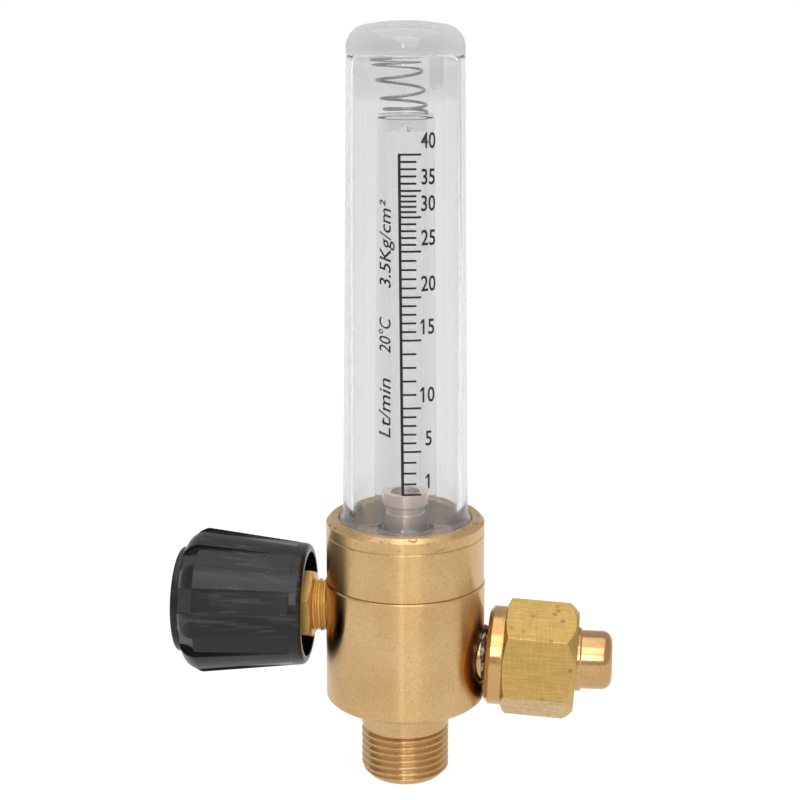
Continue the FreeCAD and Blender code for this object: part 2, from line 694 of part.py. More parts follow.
def spring_points():
    """Points along the spring's wire: closed end turns, open middle turns, and a head that leans to
    the left, away from the peg. Two steps make one arc."""
    wire = value("Sizes.spring_wire_dia")
    low = value(STOP_TOP) + wire / 2
    high = value(DOME_FLOOR) - wire / 2
    turns = value("Sizes.spring_turns")
    foot_r = value("Sizes.spring_foot_dia") / 2
    head_r = value("Sizes.spring_head_dia") / 2
    steps = 2 * int(round(turns * ARCS_PER_TURN))
    points = []
    for step in range(steps + 1):
        share = step / steps
        # The ends rise slowly and the middle fast
        rise = share - math.sin(2 * math.pi * share) / (2 * math.pi) * 0.62
        radius = foot_r + (head_r - foot_r) * share
        angle = 2 * math.pi * turns * share
        lean = value("Sizes.spring_lean") * rise
        points.append(FreeCAD.Vector(radius * math.cos(angle) - lean, radius * math.sin(angle),
                                     low + (high - low) * rise))
    return points


def tube_spring():
    """The spring between the cover's end and the stop, which holds the metering tube on its seal."""
    points = spring_points()
    arcs = [Part.Arc(*points[start:start + 3]).toShape() for start in range(0, len(points) - 2, 2)]
    along = arcs[0].tangentAt(arcs[0].FirstParameter)
    section = Part.Wire([Part.makeCircle(value("Sizes.spring_wire_dia") / 2, points[0], along)])
    feature = doc.addObject("Part::Feature", "tube_spring")
    feature.Label = "tube_spring"
    feature.Shape = Part.Wire(arcs).makePipeShell([section], True, False)
    sub_parts.append(feature)


def valve_bonnet():
    """The hexagonal bonnet that closes the valve chamber and guides the stem."""
    body = new_body("valve_bonnet", "left", VALVE)
    flats = "Sizes.bonnet_hex_flats"
    # The body's own x axis points up and its y axis away, so a corner above the side that is seen is
    # at 90 degrees less that angle, on the negative side
    turn = "(Sizes.bonnet_hex_turn - 90)"
    sketch = outline_sketch(body, "hex_outline", hexagon(flats, turn), role="XY_Plane",
                            lift=HEX_START)
    extruded(body, "hex", sketch, "Sizes.bonnet_hex_run")
    round_r = "%s / 2 * 0.97" % flats
    corner_cut(body, "inner_corners", flats, HEX_START, 1, round_r, "Sizes.hex_chamfer_angle")
    corner_cut(body, "outer_corners", flats, BONNET_END, -1, round_r, "Sizes.hex_chamfer_angle")
    thread_r = "Sizes.bonnet_thread_dia / 2"
    turned(body, "thread", [
        ("0", BONNET_START),
        (thread_r, BONNET_START),
        (thread_r, "%s + 1" % HEX_START),
        ("0", "%s + 1" % HEX_START),
    ])
    bore_r = "Sizes.bonnet_bore_dia / 2"
    gland_r = "Sizes.gland_bore_dia / 2 + Sizes.shaft_play"
    turned(body, "bore", [
        ("0", BONNET_START),
        (bore_r, BONNET_START),
        (bore_r, GLAND_STEP),
        (gland_r, GLAND_STEP),
        (gland_r, BONNET_END),
        ("0", BONNET_END),
    ], cut=True)


def valve_poppet():
    """The poppet that slides in the chamber and carries the soft disc; the stem turns on its stub."""
    body = new_body("valve_poppet", "left", VALVE)
    face = "Sizes.seat_plane + Sizes.poppet_face"
    recess = "Sizes.seat_plane + Sizes.disc_thick"
    disc_r = "Sizes.disc_dia / 2 + Sizes.slip_play"
    stub_end = "%s + Sizes.poppet_stub_run" % POPPET_BACK
    turned(body, "poppet", [
        ("0", recess),
        (disc_r, recess),
        (disc_r, face),
        ("Sizes.poppet_dia / 2", face),
        ("Sizes.poppet_dia / 2", POPPET_BACK),
        ("Sizes.poppet_stub_dia / 2", POPPET_BACK),
        ("Sizes.poppet_stub_dia / 2", stub_end),
        ("0", stub_end),
    ])


def seat_disc():
    """The soft disc that closes the orifice, let into the poppet's face."""
    body = new_body("seat_disc", "left", VALVE)
    top = "Sizes.seat_plane + Sizes.disc_thick"
    turned(body, "disc", [
        ("0", "Sizes.seat_plane"),
        ("Sizes.disc_dia / 2", "Sizes.seat_plane"),
        ("Sizes.disc_dia / 2", top),
        ("0", top),
    ])


def valve_stem():
    """The stem: a threaded foot in the bonnet, a groove for its seal and a flat for the knob."""
    body = new_body("valve_stem", "left", VALVE)
    foot = "%s + Sizes.stem_gap" % POPPET_BACK
    thread_r = "Sizes.bonnet_bore_dia / 2 - Sizes.thread_play"
    shaft_r = "Sizes.gland_bore_dia / 2 - Sizes.shaft_play"
    stub_r = "Sizes.poppet_stub_dia / 2 + Sizes.shaft_play"
    stub_floor = "%s + Sizes.poppet_stub_run + 4 * Sizes.slip_play" % foot
    groove_r = "%s + Sizes.slip_play - Sizes.stem_seal_thick" % shaft_r
    groove_low = "%s - Sizes.slip_play" % STEM_SEAL
    groove_high = "%s + Sizes.stem_seal_width + Sizes.slip_play" % STEM_SEAL
    hole_r = "Sizes.screw_dia / 2 + Sizes.screw_play"
    hole_floor = "%s - Sizes.screw_run - 1" % KNOB_DECK
    turned(body, "shaft", [
        ("0", stub_floor),
        (stub_r, stub_floor),
        (stub_r, foot),
        (thread_r, foot),
        (thread_r, STEM_SHOULDER),
        (shaft_r, STEM_SHOULDER),
        (shaft_r, groove_low),
        (groove_r, groove_low),
        (groove_r, groove_high),
        (shaft_r, groove_high),
        (shaft_r, STEM_END),
        (hole_r, STEM_END),
        (hole_r, hole_floor),
        ("0", hole_floor),
    ])
    start = "(%s - Sizes.stem_flat_run)" % STEM_END
    sketch = outline_sketch(body, "flat_outline", [
        ("Sizes.stem_flat", start),
        ("Sizes.gland_bore_dia", start),
        ("Sizes.gland_bore_dia", "%s + 1" % STEM_END),
        ("Sizes.stem_flat", "%s + 1" % STEM_END),
    ])
    extruded(body, "flat", sketch, "2 * Sizes.gland_bore_dia", cut=True, midplane=True)
    turn_with_knob(body)


def stem_seal():
    """The ring in the stem's groove, which slides in the bonnet's gland."""
    body = new_body("stem_seal", "left", VALVE)
    inner = "Sizes.gland_bore_dia / 2 - Sizes.stem_seal_thick"
    low = STEM_SEAL
    high = "%s + Sizes.stem_seal_width" % low
    outer = "%s + Sizes.stem_seal_thick" % inner
    edge = "Sizes.stem_seal_thick / 4"
    turned(body, "seal", [
        (inner, "%s + %s" % (low, edge)),
        ("%s + %s" % (inner, edge), low),
        ("%s - %s" % (outer, edge), low),
        (outer, "%s + %s" % (low, edge)),
        (outer, "%s - %s" % (high, edge)),
        ("%s - %s" % (outer, edge), high),
        ("%s + %s" % (inner, edge), high),
        (inner, "%s - %s" % (high, edge)),
    ])


def control_knob():
    """The hollow moulded knob: a cone that widens outwards, with a hub on the stem and flat-floored
    flutes that run out before the rim."""
    body = new_body("control_knob", "left", VALVE)
    rim_r = "Sizes.knob_rim_dia / 2"
    full_r = "Sizes.knob_dia / 2"
    end_r = "Sizes.knob_end_dia / 2"
    inner_end = "(%s - Sizes.knob_end_wall)" % KNOB_DECK
    recess_r = "Sizes.knob_cap_spigot_dia / 2 + Sizes.slip_play"
    wall_end = "(Sizes.knob_wall + Sizes.flute_depth_end)"
    bore_r = "Sizes.gland_bore_dia / 2 - Sizes.shaft_play + Sizes.slip_play"
    screw_r = "Sizes.screw_dia / 2 + 2 * Sizes.screw_play"
    hub_start = "(%s - Sizes.stem_flat_run)" % STEM_END
    turned(body, "cone", [
        ("%s - Sizes.knob_wall" % rim_r, KNOB_RIM),
        ("%s - Sizes.knob_rim_round" % rim_r, KNOB_RIM, "Sizes.knob_rim_round", "left"),
        (rim_r, "%s + Sizes.knob_rim_round" % KNOB_RIM),
        (full_r, KNOB_SHOULDER, "Sizes.knob_shoulder_round", "left"),
        (end_r, KNOB_END),
        (recess_r, KNOB_END),
        (recess_r, KNOB_DECK),
        (screw_r, KNOB_DECK),
        (screw_r, STEM_END),
        (bore_r, STEM_END),
        (bore_r, hub_start),
        ("Sizes.knob_hub_dia / 2", hub_start),
        ("Sizes.knob_hub_dia / 2", inner_end),
        ("%s - %s" % (full_r, wall_end), inner_end),
    ])
    # The flat in the hub's bore, which drives the stem
    sketch = outline_sketch(body, "key_outline", [
        ("Sizes.stem_flat + Sizes.slip_play", hub_start),
        ("Sizes.knob_hub_dia / 2 - Sizes.joint_edge", hub_start),
        ("Sizes.knob_hub_dia / 2 - Sizes.joint_edge", STEM_END),
        ("Sizes.stem_flat + Sizes.slip_play", STEM_END),
    ])
    extruded(body, "key", sketch, "Sizes.gland_bore_dia * 0.7", midplane=True)
    # The flute's floor follows the cone, from the rim's smooth band out past the shoulder
    run = "(%s - %s)" % (KNOB_SHOULDER, KNOB_RIM)
    slope = "((Sizes.knob_dia - Sizes.knob_rim_dia) / 2 / %s)" % run
    start_r = "(%s + (%s - %s) * %s)" % (rim_r, FLUTE_START, KNOB_RIM, slope)
    beyond_r = "%s + 2" % full_r
    end_floor = "%s - Sizes.flute_depth_end / 4" % end_r
    profile = [
        ("%s - Sizes.flute_depth_rim" % start_r, FLUTE_START),
        (beyond_r, FLUTE_START),
        (beyond_r, "%s + 1" % KNOB_END),
        (end_floor, "%s + 1" % KNOB_END),
        (end_floor, KNOB_END),
        ("%s - Sizes.flute_depth_end" % full_r, KNOB_SHOULDER),
    ]
    sketch = outline_sketch(body, "flute_outline", profile)
    first = extruded(body, "flute", sketch, "Sizes.flute_width", cut=True, midplane=True)
    pattern = body.newObject("PartDesign::PolarPattern", "flutes")
    pattern.Originals = [first]
    pattern.Axis = (sketch, ["V_Axis"])
    pattern.Angle = 360
    pattern.Occurrences = int(value("Sizes.flute_count"))
    pattern.setExpression("Occurrences", "Sizes.flute_count")
    body.Tip = pattern
    turn_with_knob(body)


def knob_screw():
    """The screw that holds the knob on the stem, under the cap."""
    body = new_body("knob_screw", "left", VALVE)
    head = "%s + Sizes.screw_head_thick" % KNOB_DECK
    turned(body, "screw", [
        ("0", "%s - Sizes.screw_run" % KNOB_DECK),
        ("Sizes.screw_dia / 2", "%s - Sizes.screw_run" % KNOB_DECK),
        ("Sizes.screw_dia / 2", KNOB_DECK),
        ("Sizes.screw_head_dia / 2", KNOB_DECK),
        ("Sizes.screw_head_dia / 2", head),
        ("0", head),
    ])
    half = "Sizes.screw_slot_width / 2"
    floor = "%s - Sizes.screw_slot_depth" % head
    sketch = outline_sketch(body, "slot_outline", [
        ("-%s" % half, floor),
        (half, floor),
        (half, "%s + 1" % head),
        ("-%s" % half, "%s + 1" % head),
    ])
    extruded(body, "slot", sketch, "2 * Sizes.screw_head_dia", cut=True, midplane=True)


def knob_cap():
    """The push-in cap that covers the screw."""
    body = new_body("knob_cap", "left", VALVE)
    top = "%s + Sizes.cap_thick" % KNOB_END
    spigot_r = "Sizes.knob_cap_spigot_dia / 2"
    spigot_foot = "(%s + Sizes.slip_play)" % KNOB_DECK
    cavity_r = "%s - Sizes.cap_wall" % spigot_r
    turned(body, "cap", [
        ("0", KNOB_END),
        (cavity_r, KNOB_END),
        (cavity_r, spigot_foot),
        (spigot_r, spigot_foot),
        (spigot_r, KNOB_END),
        ("Sizes.cap_dia / 2", KNOB_END),
        ("Sizes.cap_dia / 2", "%s - Sizes.cap_round" % top, "Sizes.cap_round", "left"),
        ("Sizes.cap_dia / 2 - Sizes.cap_round", top),
        ("0", top),
    ])


def inlet_nipple():
    """The inlet nipple: screwed into the body, with a flange that the nut draws in and a round nose."""
    body = new_body("inlet_nipple", "right", INLET)
    bore_r = "Sizes.nipple_bore_dia / 2"
    thread_r = "Sizes.nipple_thread_dia / 2"
    shank_r = "Sizes.nipple_shank_dia / 2"
    flange_r = "Sizes.nipple_flange_dia / 2"
    relief_r = "Sizes.nose_relief_dia / 2"
    nose_r = "Sizes.nose_dia / 2"
    turned(body, "nipple", [
        (bore_r, NIPPLE_START),
        (thread_r, NIPPLE_START),
        (thread_r, NIPPLE_THREAD_END),
        (shank_r, NIPPLE_THREAD_END),
        (shank_r, NIPPLE_FLANGE),
        (flange_r, NIPPLE_FLANGE),
        (flange_r, FLANGE_END),
        (relief_r, FLANGE_END),
        (relief_r, NOSE_LAND),
        (nose_r, NOSE_LAND),
        (nose_r, "%s - Sizes.nose_round" % NOSE_END, "Sizes.nose_round", "left"),
        ("%s - Sizes.nose_round" % nose_r, NOSE_END),
        (bore_r, NOSE_END),
    ])


def nipple_sealant():
    """The band of thread tape that shows where the nipple enters the body."""
    inner = "Sizes.nipple_thread_dia / 2"
    outer = "%s + Sizes.thread_play + Sizes.sealant_thick" % inner
    ring("nipple_sealant", inner, outer, SEALANT_START, "Sizes.sealant_run",
         "right", INLET)


def inlet_filter():
    """The sintered filter that the nipple holds in the inlet bore."""
    body = new_body("inlet_filter", "right", INLET)
    start = "%s - Sizes.filter_thick" % NIPPLE_START
    turned(body, "filter", [
        ("0", start),
        ("Sizes.filter_dia / 2", start),
        ("Sizes.filter_dia / 2", NIPPLE_START),
        ("0", NIPPLE_START),
    ])


def union_nut():
    """The loose nut on the nipple: a round collar and a hexagon, hanging on the nipple's flange with
    its open end low. Its own Z axis runs from the collar's face to the open end."""
    body = doc.addObject("PartDesign::Body", "union_nut")
    body.Label = "union_nut"
    sub_parts.append(body)
    flats = "Sizes.nut_flats"
    turn = "(180 - Sizes.nut_turn)"
    collar_r = "Sizes.nut_collar_dia / 2"
    sketch = outline_sketch(body, "hex_outline", hexagon(flats, turn), role="XY_Plane",
                            lift="Sizes.nut_collar_run")
    extruded(body, "hex", sketch, "Sizes.nut_run - Sizes.nut_collar_run")
    corner_cut(body, "inner_corners", flats, "Sizes.nut_collar_run", 1, collar_r, "Sizes.hex_chamfer_angle")
    end_r = "%s / sqrt(3) - Sizes.nut_end_chamfer" % flats
    corner_cut(body, "end_corners", flats, "Sizes.nut_run", -1, end_r, "Sizes.end_chamfer_angle")
    turned(body, "collar", [
        ("0", "0"),
        ("%s - Sizes.nut_collar_chamfer" % collar_r, "0"),
        (collar_r, "Sizes.nut_collar_chamfer"),
        (collar_r, "Sizes.nut_collar_run + 0.5"),
        ("0", "Sizes.nut_collar_run + 0.5"),
    ])
    back_r = "Sizes.nipple_shank_dia / 2 + Sizes.nut_back_play"
    thread_r = "Sizes.nipple_flange_dia / 2 + Sizes.nut_thread_play"
    turned(body, "bore", [
        ("0", "0"),
        (back_r, "0"),
        (back_r, "Sizes.nut_wall"),
        (thread_r, "Sizes.nut_wall"),
        (thread_r, "Sizes.nut_run"),
        ("0", "Sizes.nut_run"),
    ], cut=True)
    # It hangs from the middle of the nipple's flange
    reach = "(%s - %s)" % (NUT_PIVOT, NUT_FACE)
    rotation = FreeCAD.Rotation(FreeCAD.Vector(0, 1, 0), 90 + value("Sizes.nut_droop"))
    body.Placement = FreeCAD.Placement(FreeCAD.Vector(0, 0, 0), rotation)
    body.setExpression("Placement.Base.x", "%s - %s * cos(Sizes.nut_droop)" % (NUT_PIVOT, reach))
    body.setExpression("Placement.Base.z",
                       "%s - Sizes.nut_sag + %s * sin(Sizes.nut_droop)" % (INLET, reach))


def check_and_write():
    """Stops on a failed object or shape, then writes one file for each sub-part."""
    doc.recompute()
    for item in doc.Objects:
        if "Invalid" in item.State or "Error" in item.State:
            raise RuntimeError("%s has failed: %s" % (item.Label, item.State))
    for item in sub_parts:
        if item.Shape.isNull() or not item.Shape.isValid() or not item.Shape.Solids:
            raise RuntimeError("%s has no valid solid" % item.Label)
    os.makedirs("parts", exist_ok=True)
    for item in sub_parts:
        item.Shape.exportStep("parts/%s.step" % item.Label)
        print("%-16s %9.1f mm3" % (item.Label, item.Shape.Volume))


lower_body()
clamp_collar()
clear_cover()
cover_seal()
ring("seat_washer", "Sizes.seat_thread_dia / 2", "Sizes.seat_flange_dia / 2", SPIGOT_TOP,
     "Sizes.seat_washer_thick")
tube_seat()
tube_seal()
metering_tube()
float_stop()
float_ball()
tube_spring()
ring("bonnet_washer", "Sizes.bonnet_washer_bore / 2", "Sizes.bonnet_thread_dia / 2", CHAMBER_END,
     "Sizes.bonnet_washer_thick", "left", VALVE)
valve_bonnet()
valve_poppet()
seat_disc()
valve_stem()
stem_seal()
control_knob()
knob_screw()
knob_cap()
inlet_nipple()
nipple_sealant()
inlet_filter()
union_nut()
check_and_write()
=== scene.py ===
# Looks of the oxygen flowmeter: turned brass, clear plastic, threads, the printed scale and the studio.
# Metres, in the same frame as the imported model. Sizes below are in millimetres where they say so.

import json
import math

import bpy
import numpy as np
from mathutils import Matrix, Vector
from mathutils.bvhtree import BVHTree


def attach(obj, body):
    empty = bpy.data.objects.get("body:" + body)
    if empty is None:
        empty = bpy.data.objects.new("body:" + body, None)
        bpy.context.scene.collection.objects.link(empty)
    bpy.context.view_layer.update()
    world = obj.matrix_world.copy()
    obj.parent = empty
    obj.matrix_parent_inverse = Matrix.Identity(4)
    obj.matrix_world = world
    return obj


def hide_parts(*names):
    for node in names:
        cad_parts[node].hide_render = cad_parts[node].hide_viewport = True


MM = 0.001

# Camera: its place around the meter, its fall and its lens, as the photograph was taken
CAMERA_TURN = math.radians(6.8)
CAMERA_PITCH = math.radians(13.66)
CAMERA_PLACE = Vector((-1.006, -324.36, 152.33)) * MM
CAMERA_LENS = 81.53

# Threads: pitch, depth and reach in millimetres
OUTLET_PITCH = 1.337
OUTLET_DEPTH = 0.72
OUTLET_RUN = 9.8
OUTLET_CHAMFER = 1.4
BONNET_THREAD_R = 5.0
BONNET_PITCH = 1.08
BONNET_DEPTH = 0.7
BONNET_THREAD_END = 17.3
BONNET_THREAD_SHOWN = 14.0
ROWS_PER_TURN = 14
COLUMNS = 120

# Printed scale on the cover: heights in millimetres of the readings that are printed in full
SCALE = [(1, 58.7), (5, 66.7), (10, 74.7), (15, 87.0), (20, 94.7), (25, 102.8), (30, 108.8), (35, 113.4),
         (40, 119.65)]
LINE_TOP_ANGLE = 0.6
LINE_BASE_ANGLE = 4.3
LINE_WIDTH = 0.5
TICK_WIDTH = 0.37
SHORT_TICK = 16.5
LONG_TICK = 21.0
NUMBER_ANGLE = 27.9
NUMBER_HEIGHT = 2.7
NUMBER_WIDTH = 0.74
NUMBER_RISE = 2.25
UNIT_ANGLE = -11.7
UNIT_HEIGHT = 2.1
UNITS = [("Lt/min", 74.65, 10.9), ("20°C", 87.85, 6.5), ("3.5Kg/cm²", 104.05, 15.5)]
PRINT_LIFT = 0.02

# Cover, in millimetres: radius and height along its outside, then along its bore
COVER_FOOT = 45.9
FLANGE_R, FLANGE_TOP = 13.05, 48.3
NECK_R, FLARE_LOW, FLARE_TOP = 12.32, 51.15, 53.0
SHELL_R, SHELL_LOW = 11.7, 50.8
HEAD_R, HEAD_LOW, HEAD_ROUND = 10.55, 137.4, 4.0
COVER_TOP = 142.0
BORE_FOOT_R, BORE_HEAD_R, BORE_END = 9.8, 9.3, 136.4
BORE_FLAT_R, BORE_ROUND = 7.9, 2.2
PEG_R, PEG_OFFSET, PEG_LOW = 1.2, 5.45, 129.9

# Inlet side, in millimetres along the inlet's axis and from it
SEALANT_X, SEALANT_R = 15.2, 4.75
NOSE_R = 5.5
NOSE_COLLAR_R, NOSE_COLLAR_LOW, NOSE_COLLAR_HIGH = 6.0, 31.0, 33.5

# Printed on the cover: radii in millimetres that turn widths into angles
MARK_R, WORD_R = 11.0, 11.1

# Where finishes change, in millimetres: spans of radius or height over which one fades into the next
WALL_R = (7.5, 8.5)
SKIN_R = (10.2, 10.6)
THICK_END = (128.0, 129.0)
# Spans of height and radius over which the flare's painted highlight, a milky white, fades in
FLARE_FADE = (51.6, 52.8)
FLARE_R = (11.3, 11.9)
COLLAR_MOUTH = (47.8, 49.6)
# Where brass inside the cover is painted paler as painted light: above this height and within this radius
INSIDE_HEIGHT = (45.2, 45.6)
INSIDE_R = (10.0, 10.3)
NUT_COLLAR = (18.6, 18.8)

# Colours of marks: specks on the brass, painted light that makes brass inside the cover paler, pits in the nut
SPECK_COLOR = (0.16, 0.09, 0.035)
INSIDE_PAINTED_LIGHT_COLOR = (0.86, 0.68, 0.56)
PIT_COLOR = (0.24, 0.15, 0.06)

# Studio: how bright the floor is to the camera, through the cover and in reflections, and the surroundings
FLOOR_SEEN, FLOOR_THROUGH, FLOOR_MIRRORED = 0.88, 0.74, 0.82
SURROUNDINGS = 0.62

# Sealant: lumps round the nipple
LUMPS = 24

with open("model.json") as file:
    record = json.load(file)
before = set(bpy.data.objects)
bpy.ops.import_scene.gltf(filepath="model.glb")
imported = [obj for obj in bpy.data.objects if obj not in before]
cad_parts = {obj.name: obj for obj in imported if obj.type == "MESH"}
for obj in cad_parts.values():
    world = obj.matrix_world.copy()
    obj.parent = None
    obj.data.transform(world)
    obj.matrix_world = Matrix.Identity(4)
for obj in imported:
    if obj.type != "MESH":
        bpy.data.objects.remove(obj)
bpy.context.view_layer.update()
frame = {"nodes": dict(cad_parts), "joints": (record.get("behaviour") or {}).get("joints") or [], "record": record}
nodes = frame["nodes"]
mounts = {mount["name"]: mount for mount in frame["record"]["mounts"]}
OUTLET_R = mounts["outlet_thread"]["dims"]["r_mm"]
VALVE_HEIGHT = frame["joints"][1]["pos_m"][2] / MM
INLET_HEIGHT = mounts["inlet_nose"]["pos_m"][2] / MM


def new_material(name, color, roughness, metallic=0.0):
    """A material with its nodes and its shader."""
    material = bpy.data.materials.new(name)
    material.use_nodes = True
    tree = material.node_tree
    shader = tree.nodes["Principled BSDF"]
    shader.inputs["Base Color"].default_value = (*color, 1)
    shader.inputs["Roughness"].default_value = roughness
    shader.inputs["Metallic"].default_value = metallic
    return tree, shader, material


def add(tree, kind, inputs=None, **settings):
    """A node of that kind, with its settings and its inputs: numbers, or other nodes' outputs."""
    node = tree.nodes.new(kind)
    for name, setting in settings.items():
        setattr(node, name, setting)
    for name, given in (inputs or {}).items():
        if isinstance(given, bpy.types.NodeSocket):
            tree.links.new(given, node.inputs[name])
        else:
            node.inputs[name].default_value = given
    return node


def stretched_place(tree, stretch):
    """Object coordinates, each axis multiplied by its share of stretch."""
    place = add(tree, "ShaderNodeTexCoord").outputs["Object"]
    return add(tree, "ShaderNodeMapping", {"Vector": place, "Scale": stretch}).outputs["Vector"]


def noise(tree, stretch, scale, detail=3.0):
    """Noise over object coordinates."""
    return add(tree, "ShaderNodeTexNoise",
               {"Vector": stretched_place(tree, stretch), "Scale": scale, "Detail": detail}).outputs["Fac"]


def spread(tree, factor, low, high, start=0.3, end=0.7):
    """A factor between start and end, spread from low to high."""
    return add(tree, "ShaderNodeMapRange", {"Value": factor, "From Min": start, "From Max": end,
                                            "To Min": low, "To Max": high}).outputs["Result"]


def blended(tree, factor, first, second):
    """A colour between two colours by a factor."""
    node = add(tree, "ShaderNodeMix", data_type="RGBA")
    tree.links.new(factor, node.inputs["Factor"])
    node.inputs["A"].default_value = (*first, 1)
    node.inputs["B"].default_value = (*second, 1)
    return node.outputs["Result"]


def mixed_color(tree, factor, first, second):
    """A colour between a node's colour and a plain one by a factor."""
    node = add(tree, "ShaderNodeMix", data_type="RGBA")
    tree.links.new(factor, node.inputs["Factor"])
    tree.links.new(first, node.inputs["A"])
    node.inputs["B"].default_value = (*second, 1)
    return node.outputs["Result"]


def combined(tree, operation, first, second):
    """Two numbers or outputs, combined by a maths operation."""
    return add(tree, "ShaderNodeMath", {0: first, 1: second}, operation=operation).outputs[0]


def from_axis(tree):
    """The distance from the meter's upright axis, and the height."""
    place = add(tree, "ShaderNodeTexCoord").outputs["Object"]
    flat = add(tree, "ShaderNodeVectorMath", {0: place, 1: (1, 1, 0)}, operation="MULTIPLY")
    away = add(tree, "ShaderNodeVectorMath", {0: flat.outputs["Vector"]}, operation="LENGTH")
    height = add(tree, "ShaderNodeSeparateXYZ", {"Vector": place})
    return away.outputs["Value"], height.outputs["Z"]


def faded(tree, measure, span, low=0.0, high=1.0):
    """A factor that goes from low to high where a measure crosses a span in millimetres."""
    return spread(tree, measure, low, high, span[0] * MM, span[1] * MM)


def bumped(tree, shader, height, distance, strength=1.0, base=None):
    """A bump of that height in metres on the shader, or on top of another bump."""
    inputs = {"Height": height, "Distance": distance, "Strength": strength}
    if base:
        inputs["Normal"] = base
    bump = add(tree, "ShaderNodeBump", inputs).outputs["Normal"]
    tree.links.new(bump, shader.inputs["Normal"])
    return bump


def edge_rounded(tree, radius):
    """The surface's normal, turned towards its neighbour's at edges, as if they were rounded."""
    return add(tree, "ShaderNodeBevel", {"Radius": radius * MM}, samples=4).outputs["Normal"]


def brass(name, color, dull, roughness, axis, lines, stretch_along=0.0, grain=0.4, bare=1.0):
    """Turned brass with a share of bare metal: tool lines across its axis, a fine grain and some tarnish.
    It has dark specks by the collar's mouth, and inside the cover it is painted paler and pinker, as painted light
    for the dim inside."""
    tree, shader, material = new_material(name, color, roughness, bare)
    across = [1.0, 1.0, 1.0]
    across["XYZ".index(axis)] = lines
    tool = noise(tree, across, 140.0)
    patches = noise(tree, (1, 1, 1), 90.0, 4.0)
    speckle = noise(tree, (1, 1, 1), 2200.0, 3.0)
    stained = blended(tree, spread(tree, patches, 0, 1, 0.35, 0.75), color, dull)
    fine = add(tree, "ShaderNodeMix", {"Factor": spread(tree, speckle, 0.26, 0.0, 0.3, 0.6)},
               data_type="RGBA", blend_type="MULTIPLY")
    tree.links.new(stained, fine.inputs["A"])
    fine.inputs["B"].default_value = (0.5, 0.42, 0.35, 1)
    away, height = from_axis(tree)
    blots = spread(tree, noise(tree, (1, 1, 2.5), 620.0, 4.0), 0.0, 0.75, 0.6, 0.68)
    specked = combined(tree, "MULTIPLY", blots, faded(tree, height, COLLAR_MOUTH, 0.12, 1.0))
    # Painted light: brass inside the cover is mixed towards a paler, pinker colour, standing in for the light the
    # enclosed inside lacks
    painted_light_inside = combined(tree, "MULTIPLY", faded(tree, height, INSIDE_HEIGHT), faded(tree, away, INSIDE_R, 1, 0))
    marked = mixed_color(tree, specked, fine.outputs["Result"], SPECK_COLOR)
    tree.links.new(mixed_color(tree, painted_light_inside, marked, INSIDE_PAINTED_LIGHT_COLOR), shader.inputs["Base Color"])
    tree.links.new(spread(tree, patches, roughness * 0.93, roughness * 1.1), shader.inputs["Roughness"])
    first = bumped(tree, shader, tool, 0.003 * MM, 0.5, edge_rounded(tree, 0.12))
    bumped(tree, shader, speckle, 0.004 * MM, grain, first)
    if stretch_along:
        shader.inputs["Anisotropic"].default_value = stretch_along
        shader.inputs["Anisotropic Rotation"].default_value = 0.25
        tangent = add(tree, "ShaderNodeTangent", direction_type="RADIAL", axis=axis)
        tree.links.new(tangent.outputs["Tangent"], shader.inputs["Tangent"])
    return material


def drawn_brass(name, color, dull, collar, roughness):
    """Brass drawn to a hexagon: streaks along and across its flats, small pits and rounded edges. Its
    collar is turned and polished."""
    tree, shader, material = new_material(name, color, roughness, 1.0)
    along = noise(tree, (0.1, 1, 1), 2600.0, 4.0)
    across = noise(tree, (1, 0.12, 0.12), 2400.0, 3.0)
    patches = noise(tree, (1, 1, 1), 230.0, 3.0)
    streaks = combined(tree, "ADD", along, combined(tree, "MULTIPLY", across, 0.6))
    stained = blended(tree, spread(tree, streaks, 0, 1, 0.62, 1.0), color, dull)
    place = stretched_place(tree, (1, 1, 1))
    pits = add(tree, "ShaderNodeTexVoronoi", {"Vector": place, "Scale": 420.0}).outputs["Distance"]
    pitted = combined(tree, "MULTIPLY", spread(tree, pits, 0.75, 0.0, 0.1, 0.25),
                      spread(tree, patches, 0.0, 1.0, 0.5, 0.58))
    marked = mixed_color(tree, pitted, stained, PIT_COLOR)
    reach = add(tree, "ShaderNodeSeparateXYZ", {"Vector": place}).outputs["X"]
    turned = faded(tree, reach, NUT_COLLAR, 1, 0)
    tree.links.new(mixed_color(tree, turned, marked, collar), shader.inputs["Base Color"])
    rough = spread(tree, streaks, roughness * 0.8, roughness * 1.3, 0.62, 1.0)
    polish = combined(tree, "MULTIPLY", turned, 0.16)
    tree.links.new(combined(tree, "SUBTRACT", rough, polish), shader.inputs["Roughness"])
    first = bumped(tree, shader, along, 0.008 * MM, 0.7, edge_rounded(tree, 0.25))
    bumped(tree, shader, across, 0.005 * MM, 0.5, first)
    return material


